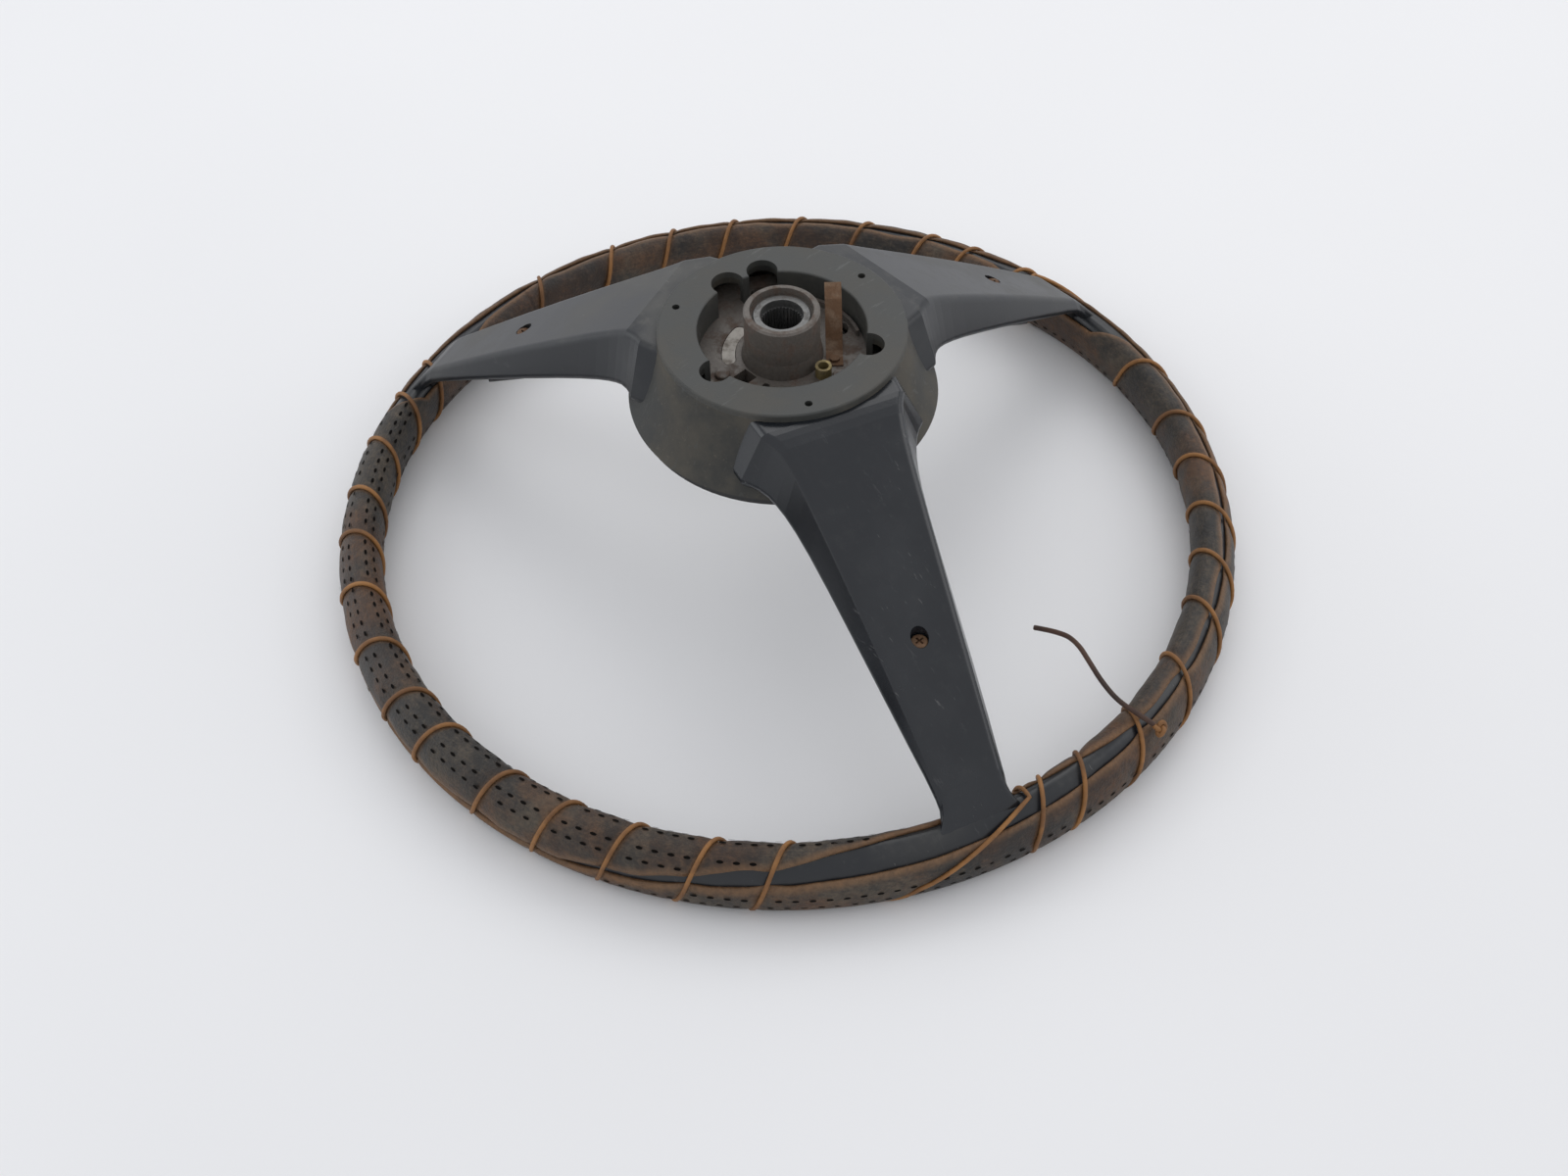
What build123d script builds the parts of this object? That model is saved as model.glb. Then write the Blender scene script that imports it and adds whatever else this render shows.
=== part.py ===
"""Three-spoke steering wheel with a laced leather rim cover, lying on its face.

+Z points away from the driver, towards the steering column.  The origin is on the
wheel's axis, in the plane that the rim's face side rests on.  The lower spoke runs
along -Y.  Left and right are the driver's.  Lengths are in millimetres, angles in
degrees.
"""

import os
from math import atan2, cos, degrees, exp, hypot, pi, radians, sin, sqrt, tan

from build123d import *

# ---- rim ----
rim_radius = 191.6          # wheel axis to the middle of the rim's oval
rim_half_width = 7.6        # bare rim, across
rim_half_depth = 13.5       # bare rim, front to back
rim_lean = 13.0             # the column side of the oval leans towards the axis
core_radius = 4.0           # steel ring inside the rim
mould_gap = 0.03            # film left between steel and the moulding round it

# ---- leather cover and lace ----
leather = 2.0               # thickness
face_padding = 1.1          # extra thickness on the face side, where the wheel rests
seam_start = 64.0           # the open seam, round the oval from its outer side
seam_end = 132.0
leather_gap = 0.05
lace_radius = 1.1
lace_proud = 0.35           # the lace's centre line stands this far off the leather
lace_floor_gap = 0.05
lace_turns = (14, 10, 10)   # turns between one spoke and the next
lace_steps = 12             # straight runs in one turn
lace_crossing_steps = 2     # runs that carry the lace past a spoke
lace_start_step = 2         # the lace leaves each spoke on this step of its turn
lace_spoke_room = 3.0       # kept free on each side of a spoke
knot_turn = 2               # the lace is tied this many turns past the right spoke
knot_radius = 3.4
knot_lift = 2.2             # middle of the knot above the lace's path

# ---- free end of the lace: points of its route ----
tail_route = [
    (-196.9, -19.5, 30.2),
    (-190.2, -15.2, 35.6),
    (-181.5, -13.6, 37.2),
    (-171.0, -16.0, 37.8),
    (-160.5, -20.6, 37.2),
    (-150.6, -25.4, 35.6),
    (-140.5, -27.4, 32.6),
    (-128.5, -23.8, 28.2),
]

# ---- spokes ----
spoke_names = ("left", "right", "lower")
spoke_angles = (19.6, 160.4, 270.0)
shoulder_run = 9.5          # from a spoke's root to the start of its straight part
shoulder_rise = 11.6        # above the underside of the hub plate
tip_inset = 11.6            # the straight part ends this far inside the rim's middle
tip_rise = 10.7             # above the column side of the leather
crown = 1.5                 # rise of the spoke's back over the straight line
shoulder_depth = 26.0       # front to back
tip_depth = 8.0
shoulder_back_width = 49.0
tip_back_width = 25.0
spoke_draft = 5.0           # the front is this much wider on each side
root_gap = 0.5              # hub plate to the spoke's end
root_depth = 12.0           # the spoke wraps round the hub plate by this much
root_rise = 13.6            # above the underside of the hub plate
root_flare = 10.0           # the spoke widens towards the hub by this much,
root_flare_length = 8.0     # fading over this length
front_flare = 14.0          # its front edge widens further
front_flare_length = 13.0
landing_inset = 0.6         # the spoke lands on the rim this far inside its middle
landing_drop = 2.4          # below the column side of the leather
landing_flare = 16.0
landing_depth = 9.0
root_steps = (2.5, 5.5)     # stations past the root
shoulder_steps = (0.0, 4.0, 9.0, 16.0)      # stations past the shoulder
straight_shares = (0.2167, 0.3333, 0.5, 0.6667, 0.8333, 0.9333)
landing_shares = (0.0, 0.2727, 0.5455, 0.7727)
corner = 3.6                # rounding of a spoke's long edges
corner_share = 2.6          # a corner never takes more than the depth over this
strip_thickness = 4.0
strip_width = 18.0
strip_overlap = 17.0        # strip under the hub plate
strip_bend_inset = 17.6     # the strip turns down onto the ring this far inside it

# ---- hub ----
plate_bottom = 113.0        # the heights of the hub are set from here
plate_thickness = 3.0
pilot_radius = 9.0
pilot_length = 4.0
spline_step = 0.7           # spline crests inside the pilot
spline_depth = 0.55
spline_width = 0.8
spline_count = 36
bush_wall = 3.1
bush_rise = 24.0            # above the underside of the plate
bush_chamfer = 0.5
boss_wall = 3.7
boss_foot = 1.4             # the boss is this much wider at its foot
boss_taper = 7.0
boss_mouth = 1.1            # step round the bush
boss_chamfer = 0.8
boss_rise = 26.8            # above the underside of the plate
boss_drop = 14.5            # below it
flange_width = 13.8         # past the foot of the boss
flange_thickness = 4.0
socket_radius = 5.4         # three deep round holes at the recess edge
socket_out = 1.9            # past the recess edge
socket_angles = (-30.0, 90.0, 210.0)
kidney_out = 5.3            # past the foot of the boss
kidney_angle = 33.0
kidney_sweep = 46.0
kidney_width = 6.0
key_gap = 0.25
notch_out = 4.0             # past the foot of the boss
notch_angle = 90.0
notch_size = 6.8
drilled_holes = (           # past the foot of the boss, direction, hole radius
    (10.4, -102.0, 4.2),
    (5.3, -120.0, 3.0),
    (3.8, 118.0, 1.6),
    (16.3, -161.0, 1.0),
)
rib_inset = 1.9             # inside the recess edge
rib_width = 1.5
rib_height = 3.0
rib_start = -115.0
rib_sweep = 55.0

# ---- back ring and hub shroud ----
ring_rise = 17.0            # above the underside of the plate
ring_thickness = 3.0
ring_width = 16.8
ring_overhang = 1.7         # past the hub plate
ring_round = 0.8
recess_room = 3.9           # round the boss flange
skirt_wall = 2.6
bite_gap = 1.2              # room round each deep hole
scallop_radius = 7.0
scallop_out = 1.1           # past the recess edge
scallop_angle = -4.0
fixing_out = 11.1           # past the recess edge
fixing_radius = 1.6
fixing_angles = (-90.0, 30.0, 150.0)
shroud_spread = 13.8        # past the ring, at its lower edge
shroud_drop = 17.0          # lower edge under the underside of the plate
shroud_wall = 2.8
shroud_sag = 1.6            # the flank curves in by this much

# ---- horn push ----
push_travel = 2.0
push_gap = 0.6              # left between pad and wheel when it is fully pressed
pad_inset = 2.5             # inside the shroud
pad_side = 2.5              # straight side of the pad's disc
pad_depth = 11.0
pad_dome = 3.0
pad_bevel = 14.0            # from the pad's edge to its flat face
pad_arm_root = 4.0          # arm inside the carrier's edge
pad_arm_over = 18.0         # arm past the screw
pad_arm_width = 24.0
pad_arm_tip_width = 18.0
pad_arm_depth = 6.5
carrier_inset = 7.0         # inside the pad's edge
carrier_hole_radius = 16.0
carrier_thickness = 1.5
carrier_arm_width = 12.0
carrier_arm_over = 10.0     # arm past the screw
carrier_arm_bend = 20.0     # the arm follows the spoke from this far past the shoulder
badge_radius = 20.0
badge_thickness = 1.6
badge_inset = 0.5
badge_fit = 0.15
screw_circle = 132.0
screw_shank_radius = 2.5
screw_head_overhang = 1.0
screw_head_height = 2.4
screw_sunk = 2.2            # head below the spoke's surface
seat_gap = 0.02
cross_length = 4.0          # cross recess in the screw head
cross_width = 0.9
cross_depth = 1.3
slide_clearance = 0.06
ferrule_wall = 1.5
ferrule_drop = 3.5          # ferrule below the middle of the spoke
head_room = 0.2
spring_wire_radius = 0.4
spring_turns = 3
spring_steps = 8
spring_end_gap = 0.1
pocket_room = 0.9           # round the nut
nut_wall = 1.8
nut_height = 5.6
nut_stand = 1.2             # nut above the carrier arm
nut_fit = 0.1
stud_radius = 2.0
stud_angles = (60.0, 180.0, 300.0)
contact_closed_gap = 0.1
contact_thickness = 1.2
contact_inset = 3.0         # inner edge, past that of the insulator
contact_edge = 2.0          # outer edge, inside that of the insulator
insulator_room = 1.8        # round the foot of the boss
insulator_overhang = 2.0    # past the boss flange
insulator_thickness = 5.0

# ---- small hub pieces ----
rivet_radius = 2.0
rivet_head_radius = 3.2
rivet_head_height = 1.6
rivet_round = 0.7
plate_rivet_inset = 3.0     # inside the boss flange
plate_rivet_angles = (-45.0, 75.0, 195.0)
strip_rivet_insets = (9.0, 3.0)     # inside the plate's edge
strip_rivet_head_radius = 2.8
sleeve_radius = 3.4
sleeve_bore = 2.2
sleeve_out = 4.4            # past the foot of the boss
sleeve_angle = 188.0
sleeve_rise = 8.0           # above the underside of the plate
sleeve_fit = 0.05
leaf_angle = -132.3         # the leaf stands beside the boss in this direction
leaf_out = 4.3              # past the foot of the boss
leaf_width = 7.0
leaf_thickness = 0.7
leaf_line = ((-9.0, 0.0), (0.0, 0.0), (3.0, 3.0), (8.5, 10.5), (14.0, 16.0), (21.0, 19.0))
leaf_rivet_run = -5.5       # along the leaf, from the point nearest the axis
leaf_rivet_radius = 1.2
leaf_rivet_head_radius = 2.1

# ---- worked out from the sizes above ----
tilt = radians(rim_lean)
cut_margin = 20.0           # how far a cutting tool runs past a surface


def reach(half_width, half_depth):
    """Height of a leaning oval above its own middle."""
    return hypot(half_width * sin(tilt), half_depth * cos(tilt))


cover_half_width = rim_half_width + leather
cover_half_depth = rim_half_depth + leather + face_padding / 2
cover_middle = reach(cover_half_width, cover_half_depth)
rim_middle = cover_middle + face_padding / 2
cover_top = 2 * cover_middle

# The lace is pulled into the leather, level with it where the wheel rests on it.
lace_half_width = cover_half_width + lace_proud
lace_lowest = lace_radius + lace_floor_gap
lace_middle = (cover_top + lace_proud + lace_lowest) / 2
lace_reach = (cover_top + lace_proud - lace_lowest) / 2
lace_half_depth = sqrt(lace_reach**2 - (lace_half_width * sin(tilt)) ** 2) / cos(tilt)

bush_radius = pilot_radius + bush_wall
spline_crest_radius = pilot_radius - spline_step
boss_radius = bush_radius + boss_wall
boss_foot_radius = boss_radius + boss_foot
boss_mouth_radius = bush_radius + boss_mouth
flange_radius = boss_foot_radius + flange_width
recess_radius = flange_radius + recess_room
ring_radius = recess_radius + ring_width
plate_radius = ring_radius - ring_overhang
socket_circle = recess_radius + socket_out
scallop_circle = recess_radius + scallop_out
fixing_circle = recess_radius + fixing_out
rib_radius = recess_radius - rib_inset
kidney_circle = boss_foot_radius + kidney_out
notch_circle = boss_foot_radius + notch_out
sleeve_circle = boss_foot_radius + sleeve_out
leaf_offset = boss_foot_radius + leaf_out
plate_rivet_circle = flange_radius - plate_rivet_inset
strip_rivet_radii = [plate_radius - inset for inset in strip_rivet_insets]
insulator_inner_radius = boss_foot_radius + insulator_room
insulator_outer_radius = flange_radius + insulator_overhang
contact_inner_radius = insulator_inner_radius + contact_inset
contact_outer_radius = insulator_outer_radius - contact_edge
stud_circle = (contact_inner_radius + contact_outer_radius) / 2

boss_top = plate_bottom + boss_rise
boss_bottom = plate_bottom - boss_drop
bush_top = plate_bottom + bush_rise
sleeve_top = plate_bottom + sleeve_rise
ring_top = plate_bottom + ring_rise
shroud_edge = plate_bottom - shroud_drop
plate_top = plate_bottom + plate_thickness
flange_bottom = plate_bottom - flange_thickness
strip_middle = plate_bottom - strip_thickness / 2
spoke_root = plate_radius + root_gap
shoulder_radius = spoke_root + shoulder_run
shoulder_height = plate_bottom + shoulder_rise
root_height = plate_bottom + root_rise
tip_radius = rim_radius - tip_inset
tip_height = cover_top + tip_rise
landing_radius = rim_radius - landing_inset
landing_height = cover_top - landing_drop
station_radii = (
    [spoke_root + step for step in root_steps]
    + [shoulder_radius + step for step in shoulder_steps]
    + [shoulder_radius + part * (tip_radius - shoulder_radius) for part in straight_shares]
    + [tip_radius + part * (landing_radius - tip_radius) for part in landing_shares]
)
strip_start = plate_radius - strip_overlap
strip_bend = rim_radius - strip_bend_inset
lace_spoke_gap = degrees(atan2((tip_back_width + landing_flare) / 2 + lace_spoke_room, rim_radius))
ring_bottom = ring_top - ring_thickness
skirt_radius = recess_radius + skirt_wall
insulator_bottom = flange_bottom - insulator_thickness
contact_bottom = insulator_bottom - contact_thickness
stud_top = contact_bottom - push_travel - contact_closed_gap
shroud_radius = ring_radius + shroud_spread
pad_radius = shroud_radius - pad_inset
pad_face_radius = pad_radius - pad_bevel
carrier_radius = pad_radius - carrier_inset
pad_arm_start = carrier_radius - pad_arm_root
pad_arm_end = screw_circle + pad_arm_over
carrier_arm_end = screw_circle + carrier_arm_over
screw_head_radius = screw_shank_radius + screw_head_overhang
nut_radius = screw_shank_radius + nut_wall
spring_pocket_radius = nut_radius + pocket_room
pad_top = shroud_edge - push_travel - push_gap
pad_face = pad_top - pad_depth
arm_elbow = pad_radius - 1.0
ferrule_bore = screw_shank_radius + slide_clearance
ferrule_radius = ferrule_bore + ferrule_wall


def polar(radius, angle, height=0.0):
    """A point from its distance from the axis, direction and height."""
    return radius * cos(radians(angle)), radius * sin(radians(angle)), height


def oval_point(half_width, half_depth, middle, around):
    """Distance from the axis and height of a point on a leaning oval of the rim."""
    u = half_width * cos(radians(around))
    v = half_depth * sin(radians(around))
    return rim_radius + u * cos(tilt) - v * sin(tilt), middle + u * sin(tilt) + v * cos(tilt)


def share(s):
    """0 at a spoke's shoulder, 1 at its tip."""
    return (s - shoulder_radius) / (tip_radius - shoulder_radius)


def between(start, end, s):
    return start + (end - start) * share(s)


def back_height(s):
    """Height of a spoke's column side, s from the axis."""
    return between(shoulder_height, tip_height, s) + 4 * crown * share(s) * (1 - share(s))


def front_height(s):
    return back_height(s) - between(shoulder_depth, tip_depth, s)


def middle_height(s):
    return (back_height(s) + front_height(s)) / 2


def arm_top(s):
    """Height of the pad arm's back, clear of the spoke over the whole travel."""
    return min(pad_top, front_height(s) - push_travel - push_gap)


def across(angle, s):
    """Plane square to a spoke at distance s: x runs across the spoke, y is up."""
    return Plane(origin=polar(s, angle), x_dir=polar(1, angle + 90), z_dir=polar(1, angle))


def along(angle):
    """Upright plane through the axis: x runs out along the spoke, y is up."""
    return Plane(origin=(0, 0, 0), x_dir=polar(1, angle), z_dir=polar(1, angle - 90))


def ribbon(points, thickness):
    """Outline of a bent strip: its middle line moved to both sides, mitred at the bends."""
    sides = []
    for side in (1, -1):
        line = []
        for i, (x, y) in enumerate(points):
            before = points[max(i, 1) - 1]
            after = points[min(i, len(points) - 2) + 1]
            heading_in = atan2(y - before[1], x - before[0]) if i else None
            heading_out = atan2(after[1] - y, after[0] - x) if i < len(points) - 1 else heading_in
            heading_in = heading_out if heading_in is None else heading_in
            heading = (heading_in + heading_out) / 2
            away = side * thickness / 2 / cos((heading_out - heading_in) / 2)
            line.append((x - away * sin(heading), y + away * cos(heading)))
        sides.append(line)
    return sides[0] + sides[1][::-1]


def upright(circle, angle, radius, bottom, top):
    """An upright round bar, for shanks and as a cutting tool."""
    bar = Cylinder(radius, top - bottom, align=(Align.CENTER, Align.CENTER, Align.MIN),
                   mode=Mode.PRIVATE)
    return Location(polar(circle, angle, bottom)) * bar


def largest_radii(points):
    """The largest arc for each corner of a route of straight runs."""
    radii = []
    for before, corner_point, after in zip(points, points[1:], points[2:]):
        run_in = Vector(*corner_point) - Vector(*before)
        run_out = Vector(*after) - Vector(*corner_point)
        half_turn = radians(run_in.get_angle(run_out)) / 2
        radii.append(0.45 * min(run_in.length, run_out.length) / tan(half_turn))
    return radii


def write(piece, name):
    piece.label = name
    export_step(piece, f"parts/{name}.step")
    print(f"{name:20s} {len(piece.solids()):3d} solids {piece.volume / 1000:9.3f} cm3")


os.makedirs("parts", exist_ok=True)

# ================= steel skeleton =================
with BuildPart() as rim_core:
    with BuildSketch(Plane.XZ):
        with Locations((rim_radius, rim_middle)):
            Circle(core_radius)
    revolve(axis=Axis.Z)
write(rim_core.part, "rim_core")

# The space the ring takes up in the strips and the moulding round it.
with BuildPart() as core_room:
    with BuildSketch(Plane.XZ):
        with Locations((rim_radius, rim_middle)):
            Circle(core_radius + mould_gap)
    revolve(axis=Axis.Z)

# Each spoke is bored for a ferrule, a sunk screw head above it and a spring below it.
screw_seat = back_height(screw_circle) - screw_sunk - screw_head_height
ferrule_bottom = middle_height(screw_circle) - ferrule_drop
screw_rooms = []
for angle in spoke_angles:
    with BuildPart() as screw_room:
        add(upright(screw_circle, angle, ferrule_radius, ferrule_bottom, screw_seat))
        add(upright(screw_circle, angle, screw_head_radius + head_room, screw_seat, ring_top))
        add(upright(screw_circle, angle, spring_pocket_radius, 0, ferrule_bottom))
    screw_rooms.append(screw_room.part)

# A strip runs under the hub plate, down inside the spoke and onto the steel ring.
strips = []
for name, angle, screw_room in zip(spoke_names, spoke_angles, screw_rooms):
    with BuildPart() as strip:
        with BuildSketch(along(angle)):
            with BuildLine():
                Polyline(*ribbon([
                    (strip_start, strip_middle),
                    (plate_radius + strip_thickness, strip_middle),
                    (shoulder_radius + strip_thickness, middle_height(shoulder_radius + strip_thickness)),
                    (screw_circle, middle_height(screw_circle)),
                    (strip_bend, middle_height(strip_bend)),
                    (rim_radius, rim_middle + core_radius),
                ], strip_thickness), close=True)
            make_face()
        extrude(amount=strip_width / 2, both=True)
        add(core_room.part, mode=Mode.SUBTRACT)
        add(screw_room, mode=Mode.SUBTRACT)
        for radius in strip_rivet_radii:
            add(upright(radius, angle, rivet_radius, 0, ring_top), mode=Mode.SUBTRACT)
    strips.append(strip.part)
    write(strip.part, f"{name}_spoke_strip")

# ================= hub =================
leaf_foot = (
    hypot(leaf_offset, leaf_rivet_run),
    leaf_angle + degrees(atan2(leaf_rivet_run, leaf_offset)),
)
kidney_line = CenterArc((0, 0), kidney_circle, kidney_angle - kidney_sweep / 2, kidney_sweep)
rib_line = CenterArc((0, 0), rib_radius, rib_start, rib_sweep)

# The same openings run through the plate and through the boss flange under it.
with BuildPart() as hub_openings:
    with BuildSketch(Plane.XY.offset(flange_bottom - cut_margin)):
        for angle in socket_angles:
            with Locations(polar(socket_circle, angle)[:2]):
                Circle(socket_radius)
        SlotArc(kidney_line, kidney_width)
        for out, angle, radius in drilled_holes:
            with Locations(polar(boss_foot_radius + out, angle)[:2]):
                Circle(radius)
        with Locations(polar(sleeve_circle, sleeve_angle)[:2]):
            Circle(sleeve_radius + sleeve_fit)
        with Locations(polar(notch_circle, notch_angle)[:2]):
            Rectangle(notch_size, notch_size)
        for angle in plate_rivet_angles:
            with Locations(polar(plate_rivet_circle, angle)[:2]):
                Circle(rivet_radius)
        with Locations(polar(*leaf_foot)[:2]):
            Circle(leaf_rivet_radius)
    extrude(amount=plate_top + cut_margin - flange_bottom + cut_margin)

with BuildPart() as hub_plate:
    with BuildSketch(Plane.XY.offset(plate_bottom)):
        Circle(plate_radius)
        Circle(boss_foot_radius, mode=Mode.SUBTRACT)
    extrude(amount=plate_thickness)
    with BuildSketch(Plane.XY.offset(plate_top)):
        SlotArc(rib_line, rib_width)
    extrude(amount=rib_height)
    add(hub_openings.part, mode=Mode.SUBTRACT)
    for angle in spoke_angles:
        for radius in strip_rivet_radii:
            add(upright(radius, angle, rivet_radius, 0, ring_top), mode=Mode.SUBTRACT)
write(hub_plate.part, "hub_plate")

with BuildPart() as hub_boss:
    with BuildSketch(Plane.XZ):
        with BuildLine():
            Polyline(
                (bush_radius, boss_bottom),
                (boss_foot_radius, boss_bottom),
                (boss_foot_radius, flange_bottom),
                (flange_radius, flange_bottom),
                (flange_radius, plate_bottom),
                (boss_foot_radius, plate_bottom),
                (boss_foot_radius, plate_top),
                (boss_radius, plate_top + boss_taper),
                (boss_radius, boss_top - boss_chamfer),
                (boss_radius - boss_chamfer, boss_top),
                (boss_mouth_radius, boss_top),
                (boss_mouth_radius, bush_top - boss_chamfer),
                (bush_radius, bush_top - boss_chamfer),
                close=True,
            )
        make_face()
    revolve(axis=Axis.Z)
    add(hub_openings.part, mode=Mode.SUBTRACT)
write(hub_boss.part, "hub_boss")

# The pilot is a plain bore at the mouth; below it the bush is cut with fine splines.
with BuildPart() as splined_bush:
    with BuildSketch(Plane.XY.offset(boss_bottom)):
        Circle(bush_radius)
        Circle(spline_crest_radius, mode=Mode.SUBTRACT)
        with PolarLocations(spline_crest_radius, spline_count):
            Rectangle(2 * spline_depth, spline_width, mode=Mode.SUBTRACT)
    extrude(amount=bush_top - boss_bottom)
    with BuildSketch(Plane.XY.offset(bush_top - pilot_length)):
        Circle(pilot_radius)
    extrude(amount=pilot_length, mode=Mode.SUBTRACT)
    mouth = splined_bush.faces().sort_by(Axis.Z)[-1]
    chamfer(mouth.outer_wire().edges(), length=bush_chamfer)
write(splined_bush.part, "splined_bush")

with BuildPart() as plate_rivets:
    for angle in plate_rivet_angles:
        add(upright(plate_rivet_circle, angle, rivet_radius, flange_bottom, plate_top))
        add(upright(plate_rivet_circle, angle, rivet_head_radius, plate_top, plate_top + rivet_head_height))
    fillet(plate_rivets.edges().group_by(Axis.Z)[-1], radius=rivet_round)
write(plate_rivets.part, "plate_rivets")

with BuildPart() as strip_rivets:
    for angle in spoke_angles:
        for circle in strip_rivet_radii:
            add(upright(circle, angle, rivet_radius, plate_bottom - strip_thickness, plate_bottom))
            add(upright(circle, angle, rivet_radius, plate_bottom, plate_top))
            add(upright(circle, angle, strip_rivet_head_radius, plate_top, plate_top + rivet_head_height))
    fillet(strip_rivets.edges().group_by(Axis.Z)[-1], radius=rivet_round)
write(strip_rivets.part, "strip_rivets")

# ================= horn contacts in the hub =================
# A key on the insulator fills the kidney-shaped slot and shows in it.
with BuildPart() as insulator_ring:
    with BuildSketch(Plane.XY.offset(insulator_bottom)):
        Circle(insulator_outer_radius)
        Circle(insulator_inner_radius, mode=Mode.SUBTRACT)
        with Locations(polar(sleeve_circle, sleeve_angle)[:2]):
            Circle(sleeve_radius + sleeve_fit, mode=Mode.SUBTRACT)
    extrude(amount=insulator_thickness)
    with BuildSketch(Plane.XY.offset(flange_bottom)):
        SlotArc(kidney_line, kidney_width - 2 * key_gap)
    extrude(amount=plate_top - flange_bottom - key_gap)
write(insulator_ring.part, "insulator_ring")

with BuildPart() as contact_ring:
    with BuildSketch(Plane.XY.offset(contact_bottom)):
        Circle(contact_outer_radius)
        Circle(contact_inner_radius, mode=Mode.SUBTRACT)
    extrude(amount=contact_thickness)
write(contact_ring.part, "contact_ring")

with BuildPart() as contact_sleeve:
    with BuildSketch(Plane.XY.offset(insulator_bottom)):
        with Locations(polar(sleeve_circle, sleeve_angle)[:2]):
            Circle(sleeve_radius)
            Circle(sleeve_bore, mode=Mode.SUBTRACT)
    extrude(amount=sleeve_top - insulator_bottom)
write(contact_sleeve.part, "contact_sleeve")

# The leaf is riveted to the plate beside the boss and rises along it.
leaf_plane = Plane(
    origin=polar(leaf_offset, leaf_angle),
    x_dir=polar(1, leaf_angle + 90),
    z_dir=polar(1, leaf_angle),
)
with BuildPart() as cancelling_leaf:
    with BuildSketch(leaf_plane):
        with BuildLine():
            Polyline(*ribbon([
                (run, plate_top + leaf_thickness / 2 + rise) for run, rise in leaf_line
            ], leaf_thickness), close=True)
        make_face()
    extrude(amount=leaf_width / 2, both=True)
    add(upright(*leaf_foot, leaf_rivet_radius, 0, ring_top), mode=Mode.SUBTRACT)
write(cancelling_leaf.part, "cancelling_leaf")

with BuildPart() as leaf_rivet:
    add(upright(*leaf_foot, leaf_rivet_radius, flange_bottom, plate_top + leaf_thickness))
    add(upright(*leaf_foot, leaf_rivet_head_radius, plate_top + leaf_thickness,
                plate_top + leaf_thickness + leaf_rivet_radius))
write(leaf_rivet.part, "leaf_rivet")

# ================= black mouldings =================
with BuildPart() as rim_envelope:
    with BuildSketch(Plane.XZ):
        with Locations((rim_radius, rim_middle)):
            Ellipse(rim_half_width, rim_half_depth, rotation=rim_lean)
    revolve(axis=Axis.Z)

with BuildPart() as rim_moulding:
    add(rim_envelope.part)
    add(core_room.part, mode=Mode.SUBTRACT)
    for strip_part in strips:
        add(strip_part, mode=Mode.SUBTRACT)
write(rim_moulding.part, "rim_moulding")

# Stations along a spoke: distance, back height, depth, back width, front width.
spoke_stations = []
for s in [spoke_root - root_depth, spoke_root, *station_radii, landing_radius]:
    past_root = max(0, s - spoke_root)
    past_tip = max(0, s - tip_radius) / (landing_radius - tip_radius)
    width = (between(shoulder_back_width, tip_back_width, s)
             + root_flare * exp(-past_root / root_flare_length) + landing_flare * past_tip**2)
    front_width = (width + front_flare * exp(-past_root / front_flare_length)
                   + 2 * spoke_draft * (1 - past_tip))
    if s < shoulder_radius:
        fall = past_root / (shoulder_radius - spoke_root)
        height, depth = root_height - (root_height - shoulder_height) * fall**1.5, shoulder_depth
    elif s > tip_radius:
        height = tip_height - (tip_height - landing_height) * past_tip**1.15
        depth = tip_depth + (landing_depth - tip_depth) * past_tip
    else:
        height, depth = back_height(s), back_height(s) - front_height(s)
    spoke_stations.append((s, height, depth, width, front_width))

spokes = []
for name, angle, strip_part, screw_room in zip(spoke_names, spoke_angles, strips, screw_rooms):
    with BuildPart() as spoke:
        for s, top, depth, back, front in spoke_stations:
            with BuildSketch(across(angle, s)) as outline:
                with BuildLine():
                    Polyline((-back / 2, top), (back / 2, top), (front / 2, top - depth),
                             (-front / 2, top - depth), close=True)
                make_face()
                fillet(outline.vertices(), radius=min(corner, depth / corner_share))
        loft(ruled=True)
        add(upright(0, 0, spoke_root, 0, boss_top), mode=Mode.SUBTRACT)
        add(rim_envelope.part, mode=Mode.SUBTRACT)
        add(strip_part, mode=Mode.SUBTRACT)
        add(screw_room, mode=Mode.SUBTRACT)
    spokes.append(spoke.part)
    write(spoke.part, f"{name}_spoke_moulding")

# Deep holes and the scallop bite into the recess edge of ring and shroud alike.
with BuildPart() as recess_bites:
    for angle in socket_angles:
        add(upright(socket_circle, angle, socket_radius + bite_gap, plate_top, ring_top + cut_margin))
    add(upright(scallop_circle, scallop_angle, scallop_radius, plate_top, ring_top + cut_margin))

with BuildPart() as back_ring:
    with BuildSketch(Plane.XZ):
        with BuildLine():
            Polyline(
                (recess_radius, plate_top), (skirt_radius, plate_top), (skirt_radius, ring_bottom),
                (ring_radius, ring_bottom), (ring_radius, ring_top), (recess_radius, ring_top),
                close=True,
            )
        make_face()
    revolve(axis=Axis.Z)
    fillet(back_ring.edges().group_by(Axis.Z)[-1], radius=ring_round)
    add(recess_bites.part, mode=Mode.SUBTRACT)
    for angle in fixing_angles:
        add(upright(fixing_circle, angle, fixing_radius, plate_top, ring_top), mode=Mode.SUBTRACT)
write(back_ring.part, "back_ring")

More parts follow.
